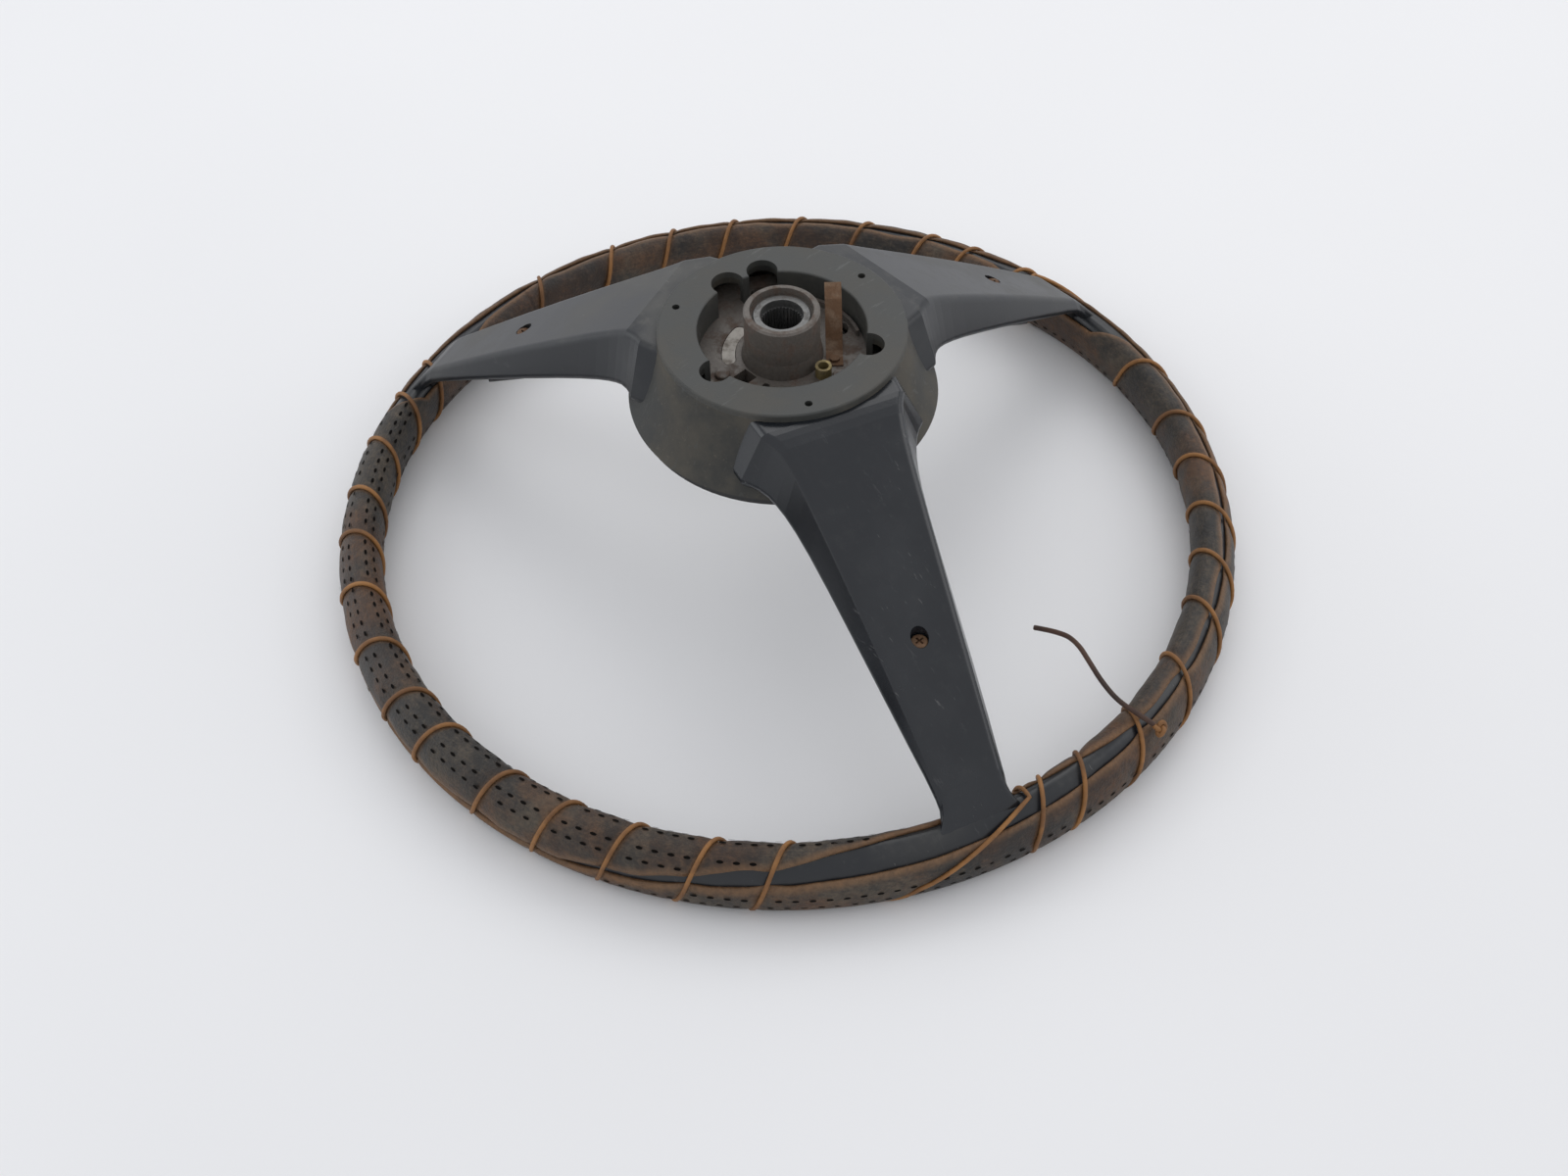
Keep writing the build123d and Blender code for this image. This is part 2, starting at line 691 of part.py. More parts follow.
flank_radius = (ring_radius + shroud_radius) / 2 - shroud_sag
flank_height = (ring_bottom + shroud_edge) / 2
with BuildPart() as hub_shroud:
    with BuildSketch(Plane.XZ):
        with BuildLine():
            Line((skirt_radius + mould_gap, ring_bottom), (ring_radius, ring_bottom))
            ThreePointArc((ring_radius, ring_bottom), (flank_radius, flank_height),
                          (shroud_radius, shroud_edge))
            Line((shroud_radius, shroud_edge), (shroud_radius - shroud_wall, shroud_edge))
            ThreePointArc((shroud_radius - shroud_wall, shroud_edge),
                          (flank_radius - shroud_wall, flank_height),
                          (ring_radius - shroud_wall, ring_bottom - shroud_wall))
            Line((ring_radius - shroud_wall, ring_bottom - shroud_wall),
                 (skirt_radius + mould_gap, ring_bottom - shroud_wall))
            Line((skirt_radius + mould_gap, ring_bottom - shroud_wall),
                 (skirt_radius + mould_gap, ring_bottom))
        make_face()
    revolve(axis=Axis.Z)
    add(recess_bites.part, mode=Mode.SUBTRACT)
    for spoke_part, strip_part in zip(spokes, strips):
        add(spoke_part, mode=Mode.SUBTRACT)
        add(strip_part, mode=Mode.SUBTRACT)
    for angle in fixing_angles:
        add(upright(fixing_circle, angle, fixing_radius, plate_top, ring_top), mode=Mode.SUBTRACT)
write(hub_shroud.part, "hub_shroud")

# ================= horn push: everything below moves together =================
nut_top = front_height(screw_circle) - push_travel - push_gap + nut_stand
nut_bottom = nut_top - nut_height

with BuildPart() as screw_ferrules:
    for angle in spoke_angles:
        add(upright(screw_circle, angle, ferrule_radius, ferrule_bottom, screw_seat))
        add(upright(screw_circle, angle, ferrule_bore, ferrule_bottom, screw_seat), mode=Mode.SUBTRACT)
write(screw_ferrules.part, "screw_ferrules")

head_bottom = screw_seat + seat_gap
head_top = head_bottom + screw_head_height
with BuildPart() as pad_screws:
    for angle in spoke_angles:
        add(upright(screw_circle, angle, screw_shank_radius, nut_bottom, head_bottom))
        add(upright(screw_circle, angle, screw_head_radius, head_bottom, head_top))
    fillet(pad_screws.edges().group_by(Axis.Z)[-1], radius=rivet_round)
    with BuildSketch(Plane.XY.offset(head_top)):
        for angle in spoke_angles:
            with Locations(polar(screw_circle, angle)[:2]):
                Rectangle(cross_length, cross_width)
                Rectangle(cross_width, cross_length)
    extrude(amount=-cross_depth, mode=Mode.SUBTRACT)
write(pad_screws.part, "pad_screws")

with BuildPart() as weld_nuts:
    for angle in spoke_angles:
        add(upright(screw_circle, angle, nut_radius, nut_bottom, nut_top))
        add(upright(screw_circle, angle, screw_shank_radius, nut_bottom, nut_top), mode=Mode.SUBTRACT)
write(weld_nuts.part, "weld_nuts")

with BuildPart() as pad_carrier:
    with BuildSketch(Plane.XY.offset(pad_top - carrier_thickness)):
        Circle(carrier_radius)
    extrude(amount=carrier_thickness)
    for angle in spoke_angles:
        arm_height = pad_top - carrier_thickness / 2
        arm_line = [(pad_arm_start, arm_height), (arm_elbow, arm_height)]
        for step in range(4):
            first = shoulder_radius + carrier_arm_bend
            s = first + (carrier_arm_end - first) * step / 3
            arm_line.append((s, arm_top(s) - carrier_thickness / 2))
        with BuildSketch(along(angle)):
            with BuildLine():
                Polyline(*ribbon(arm_line, carrier_thickness), close=True)
            make_face()
        extrude(amount=carrier_arm_width / 2, both=True)
    with BuildSketch(Plane.XY.offset(pad_top - carrier_thickness)):
        Circle(carrier_hole_radius)
    extrude(amount=carrier_thickness, mode=Mode.SUBTRACT)
    for angle in spoke_angles:
        add(upright(screw_circle, angle, nut_radius, 0, ring_top), mode=Mode.SUBTRACT)
write(pad_carrier.part, "pad_carrier")

with BuildPart() as contact_studs:
    for angle in stud_angles:
        add(upright(stud_circle, angle, stud_radius, pad_top, stud_top))
    fillet(contact_studs.edges().group_by(Axis.Z)[-1], radius=rivet_round)
write(contact_studs.part, "contact_studs")

badge_bottom = pad_face - pad_dome + badge_inset
with BuildPart() as horn_pad:
    with BuildSketch(Plane.XZ):
        with BuildLine():
            Polyline((0, pad_face - pad_dome), (0, pad_top), (pad_radius, pad_top),
                     (pad_radius, pad_top - pad_side), (pad_face_radius, pad_face))
            ThreePointArc((pad_face_radius, pad_face),
                          (pad_face_radius / 2, pad_face - 0.75 * pad_dome),
                          (0, pad_face - pad_dome))
        make_face()
    revolve(axis=Axis.Z)
    for angle in spoke_angles:
        for step in range(5):
            s = pad_arm_start + (pad_arm_end - pad_arm_start) * step / 4
            width = pad_arm_width + (pad_arm_tip_width - pad_arm_width) * step / 4
            with BuildSketch(across(angle, s)) as outline:
                with BuildLine():
                    Polyline((-width / 2, arm_top(s)), (width / 2, arm_top(s)),
                             (width / 2, arm_top(s) - pad_arm_depth),
                             (-width / 2, arm_top(s) - pad_arm_depth), close=True)
                make_face()
                fillet(outline.vertices().group_by(Axis.Z)[0], radius=pad_arm_depth / corner_share)
        loft(ruled=True)
    add(pad_carrier.part, mode=Mode.SUBTRACT)
    with BuildSketch(Plane.XY.offset(badge_bottom + badge_thickness)):
        Circle(badge_radius + badge_fit)
    extrude(amount=-cut_margin, mode=Mode.SUBTRACT)
    for angle in spoke_angles:
        add(upright(screw_circle, angle, nut_radius + nut_fit, nut_bottom - nut_fit, ring_top),
            mode=Mode.SUBTRACT)
write(horn_pad.part, "horn_pad")

with BuildPart() as badge_disc:
    with BuildSketch(Plane.XY.offset(badge_bottom)):
        Circle(badge_radius)
    extrude(amount=badge_thickness)
    fillet(badge_disc.edges().group_by(Axis.Z)[0], radius=ring_round)
write(badge_disc.part, "badge_disc")

# A spring round each screw presses the pad away from the spoke.
spring_radius = screw_shank_radius + slide_clearance + 2 * spring_wire_radius
spring_low = nut_top + spring_wire_radius + spring_end_gap
spring_high = ferrule_bottom - spring_wire_radius - spring_end_gap
spring_runs = spring_turns * spring_steps
with BuildPart() as pad_springs:
    for angle in spoke_angles:
        middle = polar(screw_circle, angle)
        coil = []
        for i in range(spring_runs + 1):
            x, y, _ = polar(spring_radius, 360 * i / spring_steps)
            rise = (spring_high - spring_low) * i / spring_runs
            coil.append((middle[0] + x, middle[1] + y, spring_low + rise))
        with BuildLine() as coil_line:
            FilletPolyline(*coil, radius=largest_radii(coil))
        with BuildSketch(Plane(origin=coil_line.wire() @ 0, z_dir=coil_line.wire() % 0)):
            Circle(spring_wire_radius)
        sweep(path=coil_line.wire())
write(pad_springs.part, "pad_springs")

# ================= leather cover and its lace =================
with BuildPart() as leather_cover:
    with BuildSketch(Plane.XZ):
        with Locations((rim_radius, cover_middle)):
            Ellipse(cover_half_width, cover_half_depth, rotation=rim_lean)
        with Locations((rim_radius, rim_middle)):
            Ellipse(rim_half_width + leather_gap, rim_half_depth + leather_gap, rotation=rim_lean,
                    mode=Mode.SUBTRACT)
        with BuildLine():
            seam_middle = (seam_start + seam_end) / 2
            Polyline((rim_radius, rim_middle), *[
                oval_point(2 * rim_half_width, 2 * rim_half_depth, rim_middle, around)
                for around in (seam_start, seam_middle, seam_end)
            ], close=True)
        make_face(mode=Mode.SUBTRACT)
    revolve(axis=Axis.Z)
    for spoke_part in spokes:
        add(spoke_part, mode=Mode.SUBTRACT)
write(leather_cover.part, "leather_cover")

# The lace winds round the rim; at each spoke it crosses on the outer side.
lace_path = []
step_number = lace_start_step
next_angles = spoke_angles[1:] + (spoke_angles[0] + 360,)
for angle, next_angle, turns in zip(spoke_angles, next_angles, lace_turns):
    winding_steps = lace_steps * turns - lace_crossing_steps
    step_angle = (next_angle - angle - 2 * lace_spoke_gap) / winding_steps
    crossing_angle = 2 * lace_spoke_gap / lace_crossing_steps
    direction = angle + lace_spoke_gap
    for i in range(lace_steps * turns):
        around = 360 * step_number / lace_steps
        radius, height = oval_point(lace_half_width, lace_half_depth, lace_middle, around)
        lace_path.append(polar(radius, direction, height))
        direction += step_angle if i < winding_steps else crossing_angle
        step_number += 1
tied = lace_steps * (lace_turns[0] + knot_turn) - 1
lace_path = lace_path[tied:] + lace_path[:tied]

with BuildPart() as lace_wound:
    with BuildLine() as lace_line:
        FilletPolyline(*lace_path, radius=largest_radii(lace_path))
    with BuildSketch(Plane(origin=lace_line.wire() @ 0, z_dir=lace_line.wire() % 0)):
        Circle(lace_radius)
    sweep(path=lace_line.wire())
write(lace_wound.part, "lace_wound")
lace_length = lace_line.wire().length
print(f"lace on the rim {lace_length:.0f} mm, volume over section times length "
      f"{lace_wound.part.volume / (pi * lace_radius**2 * lace_length):.4f}, "
      f"smallest radius {min(largest_radii(lace_path)):.1f} mm")

knot_x, knot_y, knot_z = lace_path[0]
knot_out = 1 + knot_lift / hypot(knot_x, knot_y)
with BuildPart() as lace_knot:
    with Locations((knot_x * knot_out, knot_y * knot_out, knot_z + knot_lift)):
        Sphere(knot_radius)
write(lace_knot.part, "lace_knot")

with BuildPart() as lace_tail:
    with BuildLine() as tail_line:
        FilletPolyline(*tail_route, radius=largest_radii(tail_route))
    with BuildSketch(Plane(origin=tail_line.wire() @ 0, z_dir=tail_line.wire() % 0)):
        Circle(lace_radius)
    sweep(path=tail_line.wire())
write(lace_tail.part, "lace_tail")
tail_length = tail_line.wire().length
print(f"free end of the lace {tail_length:.1f} mm, volume over section times length "
      f"{lace_tail.part.volume / (pi * lace_radius**2 * tail_length):.4f}")
print("radii of its bends", [round(radius, 1) for radius in largest_radii(tail_route)])
print("knot", [round(value, 1) for value in (knot_x * knot_out, knot_y * knot_out, knot_z + knot_lift)])
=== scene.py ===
# %% [markdown]
# # A three-spoke steering wheel with a laced leather cover
# The wheel lies on its face on a pale table.  Its hub, spokes and steel parts come as
# solids from the design model, so they only need a finish.  The cover, its lace, the
# knot and the loose end are soft, and are made here.

# %% Load the fixed frame
import bpy
import numpy as np
from math import cos, hypot, pi, radians, sin, tau
from mathutils import Matrix, Vector


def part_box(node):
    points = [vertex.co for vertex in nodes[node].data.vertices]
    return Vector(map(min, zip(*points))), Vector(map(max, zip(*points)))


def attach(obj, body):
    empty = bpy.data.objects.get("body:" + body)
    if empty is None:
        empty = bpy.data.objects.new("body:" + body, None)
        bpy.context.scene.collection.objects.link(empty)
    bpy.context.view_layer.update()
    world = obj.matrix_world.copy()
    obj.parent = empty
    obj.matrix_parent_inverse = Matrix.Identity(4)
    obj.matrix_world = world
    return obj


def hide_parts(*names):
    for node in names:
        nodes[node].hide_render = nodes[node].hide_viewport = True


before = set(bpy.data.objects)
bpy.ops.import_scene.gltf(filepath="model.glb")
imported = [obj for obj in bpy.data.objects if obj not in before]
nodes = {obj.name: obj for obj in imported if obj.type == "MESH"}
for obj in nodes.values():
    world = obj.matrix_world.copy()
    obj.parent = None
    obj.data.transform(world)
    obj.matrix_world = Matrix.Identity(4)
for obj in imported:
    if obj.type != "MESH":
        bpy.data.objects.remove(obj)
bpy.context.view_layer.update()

# %% [markdown]
# ## Camera
# The camera stands above and in front of the wheel, about half-way between a side view
# and a plan view.  Aiming it with three perpendicular directions, then rolling it a
# little, is exact and needs no helper object.

# %% Place the camera
camera_place = Vector((-0.4446, 0.4067, 0.6735))
camera_aim = Vector((-0.0210, 0.0213, 0.0))
camera_roll = radians(-1.315)
back = (camera_place - camera_aim).normalized()
level = Vector((0, 0, 1)).cross(back).normalized()
upward = back.cross(level)
side = level * cos(camera_roll) + upward * sin(camera_roll)
top = upward * cos(camera_roll) - level * sin(camera_roll)
camera = bpy.data.objects.new("camera", bpy.data.cameras.new("camera"))
camera.data.lens = 45
camera.data.sensor_width = 36
camera.matrix_world = Matrix((
    (side.x, top.x, back.x, camera_place.x),
    (side.y, top.y, back.y, camera_place.y),
    (side.z, top.z, back.z, camera_place.z),
    (0, 0, 0, 1),
))
bpy.context.scene.collection.objects.link(camera)
bpy.context.scene.camera = camera
print("camera", round((camera_place - camera_aim).length, 3), "m from its aim")

# %% [markdown]
# ## The loose end of the lace
# Past the knot the lace stands free: a stiff round leather thong that rises over the rim
# and points into the wheel.  A smooth spline through a few listed points bends the way
# leather does.  Its order and its fixed ends are set after the points are there.

# %% Lay the loose end
mm = 0.001
lace_radius = 1.1 * mm
tail_route = [
    (-196.9, -19.5, 30.2),
    (-190.2, -15.2, 35.6),
    (-181.5, -13.6, 37.2),
    (-171.0, -16.0, 37.8),
    (-160.5, -20.6, 37.2),
    (-150.6, -25.4, 35.6),
    (-140.5, -27.4, 32.6),
    (-128.5, -23.8, 28.2),
]
tail_curve = bpy.data.curves.new("loose_lace_end", "CURVE")
tail_curve.dimensions = "3D"
tail_curve.bevel_depth = lace_radius
tail_curve.bevel_resolution = 4
tail_curve.resolution_u = 12
tail_curve.use_fill_caps = True
tail_spline = tail_curve.splines.new("NURBS")
tail_spline.points.add(len(tail_route) - 1)
for point, place in zip(tail_spline.points, tail_route):
    point.co = (*(value * mm for value in place), 1)
tail_spline.order_u = 3
tail_spline.use_endpoint_u = True
loose_lace_end = bpy.data.objects.new("loose_lace_end", tail_curve)
bpy.context.scene.collection.objects.link(loose_lace_end)
print("loose end follows", len(tail_route), "points")

# %% [markdown]
# ## The rim's oval
# Under the leather the rim is oval and leans towards the axis on its column side.  One
# function turns a direction round the wheel and an angle round the oval into a point, so
# the cover, its holes and the lace all share it.  0 is the outer side, 90 the column
# side, 180 the inner side and 270 the face side.

# %% Points on the oval
rim_radius = 191.6
rim_lean = radians(13.0)
cover_half_width = 9.6
cover_half_depth = 16.05
moulding_half_width = 7.65
moulding_half_depth = 13.55
cover_middle = hypot(cover_half_width * sin(rim_lean), cover_half_depth * cos(rim_lean))
rim_middle = cover_middle + 0.55


def on_oval(half_width, half_depth, middle, direction, around):
    """Points in metres; direction and around are in degrees and may be whole arrays."""
    direction, around = np.radians(direction), np.radians(around)
    across = half_width * np.cos(around)
    along = half_depth * np.sin(around)
    radius = rim_radius + across * cos(rim_lean) - along * sin(rim_lean)
    height = middle + across * sin(rim_lean) + along * cos(rim_lean)
    return np.stack((radius * np.cos(direction), radius * np.sin(direction),
                     height + 0 * direction), axis=-1) * mm


# %% [markdown]
# ## Where the lace runs
# The lace is one long thong, wound round the rim by hand, so its turns are uneven.  Each
# number below is the direction in which one turn crosses the outer and column side.
# Below, on the inner and face side, it travels on to the next turn.  At a spoke there is
# no room on the column side, so that turn runs slantwise over the outer side instead.

# %% Lace route
spoke_directions = (19.6, 160.4, 270.0)
turn_directions = [
    26.6, 35.6, 44.9, 52.9, 62.3, 72.2, 81.7, 89.0, 100.0, 108.8, 117.6, 127.3, 136.0, 160.4,
    168.6, 174.8, 184.7, 195.5, 206.0, 214.6, 223.4, 232.5, 241.2, 252.5, 270.0,
    278.5, 287.3, 294.2, 304.4, 314.6, 324.9, 334.3, 344.0, 356.5, 379.6,
]
top_from, top_to = -20.0, 160.0
crossing_before = 8.0       # degrees before a spoke where the lace starts to cross it
crossing_after = 6.4        # and after it where the crossing ends
plain_slant = 4.6           # degrees that a plain turn advances on its column side
lace_grid = 40


def turn_ends(turn):
    """Directions where a turn comes up on the outer side and goes down on the inner side."""
    lap, turn = divmod(turn, len(turn_directions))
    here = turn_directions[turn] + 360 * lap
    if turn_directions[turn] % 360 in spoke_directions:
        return here - crossing_before, here + crossing_after
    return here - plain_slant / 2, here + plain_slant / 2


def lace_direction(turn, around):
    """Direction of the lace at an angle round the oval, on one turn, from -20 to 340."""
    start, end = turn_ends(turn)
    rise = np.clip((around - top_from) / (top_to - top_from), 0, 1)
    if end - start > 2 * plain_slant:
        rise = np.clip((around - top_from + 5) / 95.0, 0, 1)
    travel = turn_ends(turn + 1)[0] - end
    onward = np.clip((around - top_to) / (360 - top_to + top_from), 0, 1)
    return start + (end - start) * rise + travel * onward


lace_rows = []
for turn in range(len(turn_directions)):
    around = top_from + 360 * np.arange(lace_grid) / lace_grid
    lace_rows.append(np.stack((lace_direction(turn, around), around), axis=-1))
lace_lines = np.concatenate(lace_rows)
print(len(turn_directions), "turns of lace,", len(lace_lines), "points along it")

# %% [markdown]
# ## The seam
# The cover is a strip of leather whose two long edges nearly meet.  The black rim shows
# between them.  The gap wanders: hidden under the outer side near the left spoke, and
# wide open where a spoke meets the rim.  A short table of direction, middle and half
# width of the gap says where it runs, and the lace pulls its edges in.

# %% Seam and lace distance
seam_table = np.array([
    (0, 72, 9), (8, 80, 13), (14, 88, 40), (25, 88, 40), (30, 30, 14), (37, -30, 9),
    (110, -30, 9), (124, 4, 11), (140, 36, 22), (152, 66, 42), (168, 80, 44), (177, 62, 22),
    (188, 54, 10), (205, 48, 9), (225, 45, 10), (245, 50, 9), (257, 60, 10), (263, 88, 40),
    (277, 88, 40), (283, 82, 12), (300, 84, 10), (330, 70, 9), (360, 72, 9),
], float)


def lace_distance(direction, around):
    """Millimetres along the rim from each point to the nearest turn of lace."""
    nearest = np.full(np.broadcast(direction, around).shape, 99.0)
    lifted = (around - top_from) % 360 + top_from
    for turn in range(len(turn_directions)):
        gap = (direction - lace_direction(turn, lifted) + 180) % 360 - 180
        nearest = np.minimum(nearest, np.abs(gap) * pi / 180 * rim_radius)
    return nearest


def seam_edges(direction):
    """The two edges of the gap, as angles round the oval."""
    middle = np.interp(direction % 360, seam_table[:, 0], seam_table[:, 1])
    half = np.interp(direction % 360, seam_table[:, 0], seam_table[:, 2])
    ripple = 1.6 * np.sin(np.radians(direction * 23)) + 1.1 * np.sin(np.radians(direction * 41 + 70))
    pull = 4.0 * np.exp(-(lace_distance(direction, middle) / 5.0) ** 2) * (half < 20)
    half = np.maximum(half - pull + 0.6 * ripple, 2.5)
    return middle - half + ripple, middle + half + ripple


print("the gap is", 2 * seam_table[:, 2].min(), "to", 2 * seam_table[:, 2].max(), "degrees wide")

# %% [markdown]
# ## The leather cover
# It could be a copy of the plain solid, but the real cover puckers under every turn of
# lace and swells between them.  So the sheet is made as a grid: round the wheel one way
# and from edge to edge the other, with an outer and an inner skin joined at the edges.
# A texture map keeps millimetres along and across the strip for the finish.

# %% Build the cover
steps_round = 720
steps_across = 40
direction_line = np.arange(steps_round) * 360 / steps_round
edge_low, edge_high = seam_edges(direction_line)
fraction = np.linspace(0, 1, steps_across + 1)
direction_grid = np.repeat(direction_line[:, None], steps_across + 1, axis=1)
around_grid = edge_high[:, None] + (edge_low[:, None] + 360 - edge_high[:, None]) * fraction[None, :]
distance_grid = lace_distance(direction_grid, around_grid)
pinch = np.exp(-(distance_grid / 2.6) ** 2)
swell = 1 - np.exp(-(distance_grid / 9.0) ** 2)
edge_thin = np.clip(np.minimum(fraction, 1 - fraction) / 0.03, 0, 1)[None, :]
wrinkle = (0.10 * np.sin(np.radians(direction_grid * 61 + 40 * np.sin(np.radians(around_grid * 2))))
           + 0.08 * np.sin(np.radians(direction_grid * 97 + around_grid * 3)))
lift = -0.75 * pinch + 0.35 * swell + wrinkle - 0.5 * (1 - edge_thin) - 0.25
facing = np.radians(around_grid)
rests = np.clip(-np.sin(facing) * 2 - 0.6, 0, 1)
lift = lift * (1 - rests) - 0.35 * pinch * rests
outer = on_oval(cover_half_width + lift, cover_half_depth + lift, cover_middle, direction_grid, around_grid)
outer[..., 2] = np.maximum(outer[..., 2], 0.0)
inner = on_oval(moulding_half_width, moulding_half_depth, rim_middle, direction_grid, around_grid)

columns = steps_across + 1
points = np.concatenate((outer.reshape(-1, 3), inner.reshape(-1, 3)))
offset = steps_round * columns
faces = []
for i in range(steps_round):
    j = (i + 1) % steps_round
    for k in range(steps_across):
        a, b, c, d = i * columns + k, i * columns + k + 1, j * columns + k + 1, j * columns + k
        faces.append((a, b, c, d))
        faces.append((offset + d, offset + c, offset + b, offset + a))
    low_i, low_j = i * columns, j * columns
    faces.append((low_i, low_j, offset + low_j, offset + low_i))
    high_i, high_j = low_i + steps_across, low_j + steps_across
    faces.append((high_j, high_i, offset + high_i, offset + high_j))


def mesh_piece(name, points, faces=(), edges=()):
    """A new object whose place is in its mesh."""
    mesh = bpy.data.meshes.new(name)
    mesh.from_pydata([tuple(map(float, p)) for p in points], list(edges), list(faces))
    mesh.update()
    piece = bpy.data.objects.new(name, mesh)
    bpy.context.scene.collection.objects.link(piece)
    return piece


cover = mesh_piece("leather_rim_cover", points, faces)
cover.data.shade_smooth()
girth = around_grid / 360 * 82.0
along_rim = direction_grid / 360 * tau * rim_radius
strip_map = cover.data.uv_layers.new(name="strip")
corner_vertex = np.zeros(len(cover.data.loops), int)
cover.data.loops.foreach_get("vertex_index", corner_vertex)
flat = np.stack((along_rim.reshape(-1), girth.reshape(-1)), axis=-1) / 100
flat = np.concatenate((flat, flat))
strip_map.data.foreach_set("uv", flat[corner_vertex].astype(np.float32).reshape(-1))
edge_wear = cover.data.attributes.new("edge_wear", "FLOAT", "POINT")
seam_near = np.clip(1 - np.minimum(fraction, 1 - fraction)[None, :] / 0.07, 0, 1) * np.ones((steps_round, 1))
wear = np.maximum(seam_near, 0.8 * pinch)
edge_wear.data.foreach_set("value", np.concatenate((wear.reshape(-1), wear.reshape(-1))).astype(np.float32))
print("cover:", len(cover.data.polygons), "faces")

# %% [markdown]
# ## Geometry Nodes for everything that follows the lace
# The wound lace and the knot are both a round thong along a line.  One node tree does
# both: the line goes in as mesh edges, becomes a curve, and a circle is swept along it.

# %% Thong tree
def new_tree(name, sockets):
    """A geometry tree with a mesh input and named number inputs."""
    tree = bpy.data.node_groups.new(name, "GeometryNodeTree")
    tree.interface.new_socket("Geometry", in_out="INPUT", socket_type="NodeSocketGeometry")
    for label, kind, value in sockets:
        made = tree.interface.new_socket(label, in_out="INPUT", socket_type=kind)
        if value is not None:
            made.default_value = value
    tree.interface.new_socket("Geometry", in_out="OUTPUT", socket_type="NodeSocketGeometry")
    return tree, tree.nodes.new("NodeGroupInput"), tree.nodes.new("NodeGroupOutput")


def run_tree(piece, tree, values):
    """Sets the modifier's inputs, turns the result into a plain mesh and drops the modifier."""
    modifier = piece.modifiers.new(tree.name, "NODES")
    modifier.node_group = tree
    for item in tree.interface.items_tree:
        if item.item_type == "SOCKET" and item.in_out == "INPUT" and item.name in values:
            modifier[item.identifier] = values[item.name]
    bpy.context.view_layer.update()
    evaluated = piece.evaluated_get(bpy.context.evaluated_depsgraph_get())
    mesh = bpy.data.meshes.new_from_object(evaluated)
    piece.modifiers.remove(modifier)
    piece.data = mesh
    mesh.name = piece.name
    print(piece.name, "has", len(mesh.polygons), "faces")
    return piece


def thong_tree():
    tree, entry, exit_node = new_tree("thong_along_line", [
        ("Thong radius", "NodeSocketFloat", lace_radius), ("Sides", "NodeSocketInt", 8),
        ("Finish", "NodeSocketMaterial", None)])
    line = tree.nodes.new("GeometryNodeMeshToCurve")
    ring = tree.nodes.new("GeometryNodeCurvePrimitiveCircle")
    sweep = tree.nodes.new("GeometryNodeCurveToMesh")
    smooth = tree.nodes.new("GeometryNodeSetShadeSmooth")
    real = tree.nodes.new("GeometryNodeRealizeInstances")
    finish = tree.nodes.new("GeometryNodeSetMaterial")
    link = tree.links.new
    link(entry.outputs["Geometry"], line.inputs["Mesh"])
    link(entry.outputs["Thong radius"], ring.inputs["Radius"])
    link(entry.outputs["Sides"], ring.inputs["Resolution"])
    link(line.outputs["Curve"], sweep.inputs["Curve"])
    link(ring.outputs["Curve"], sweep.inputs["Profile Curve"])
    sweep.inputs["Fill Caps"].default_value = True
    link(sweep.outputs["Mesh"], smooth.inputs["Geometry"])
    link(smooth.outputs["Geometry"], real.inputs["Geometry"])
    link(real.outputs["Geometry"], finish.inputs["Geometry"])
    link(entry.outputs["Finish"], finish.inputs["Material"])
    link(finish.outputs["Geometry"], exit_node.inputs["Geometry"])
    return tree


thong = thong_tree()
print("thong tree:", len(thong.nodes), "nodes")

# %% [markdown]
# ## Perforations
# Punched slots run round the cover in staggered rows.  They could be cut, but a cover
# has over a thousand, and a small dark oval lying in the leather looks the same: its
# near-black is the black rim below plus painted shade inside the hole.  The tree puts
# one flat oval on each point, turned by two directions stored on it.

# %% Perforation tree
def perforation_tree():
    tree, entry, exit_node = new_tree("slots_on_points", [
        ("Slot length", "NodeSocketFloat", 2.5 * mm), ("Slot width", "NodeSocketFloat", 1.2 * mm),
        ("Finish", "NodeSocketMaterial", None)])
    link = tree.links.new
    disc = tree.nodes.new("GeometryNodeMeshCircle")
    disc.fill_type = "NGON"
    disc.inputs["Vertices"].default_value = 10
    disc.inputs["Radius"].default_value = 0.5
    facing_out = tree.nodes.new("GeometryNodeInputNamedAttribute")
    facing_out.data_type = "FLOAT_VECTOR"
    facing_out.inputs["Name"].default_value = "facing_out"
    along_strip = tree.nodes.new("GeometryNodeInputNamedAttribute")
    along_strip.data_type = "FLOAT_VECTOR"
    along_strip.inputs["Name"].default_value = "along_strip"
    turn = tree.nodes.new("FunctionNodeAxesToRotation")
    turn.primary_axis, turn.secondary_axis = "Z", "X"
    link(facing_out.outputs["Attribute"], turn.inputs["Primary Axis"])
    link(along_strip.outputs["Attribute"], turn.inputs["Secondary Axis"])
    size = tree.nodes.new("ShaderNodeCombineXYZ")
    link(entry.outputs["Slot length"], size.inputs["X"])
    link(entry.outputs["Slot width"], size.inputs["Y"])
    size.inputs["Z"].default_value = 1.0
    spread = tree.nodes.new("GeometryNodeInstanceOnPoints")
    link(entry.outputs["Geometry"], spread.inputs["Points"])
    link(disc.outputs["Mesh"], spread.inputs["Instance"])
    link(turn.outputs["Rotation"], spread.inputs["Rotation"])
    link(size.outputs["Vector"], spread.inputs["Scale"])
    real = tree.nodes.new("GeometryNodeRealizeInstances")
    finish = tree.nodes.new("GeometryNodeSetMaterial")
    link(spread.outputs["Instances"], real.inputs["Geometry"])
    link(real.outputs["Geometry"], finish.inputs["Geometry"])
    link(entry.outputs["Finish"], finish.inputs["Material"])
    link(finish.outputs["Geometry"], exit_node.inputs["Geometry"])
    return tree


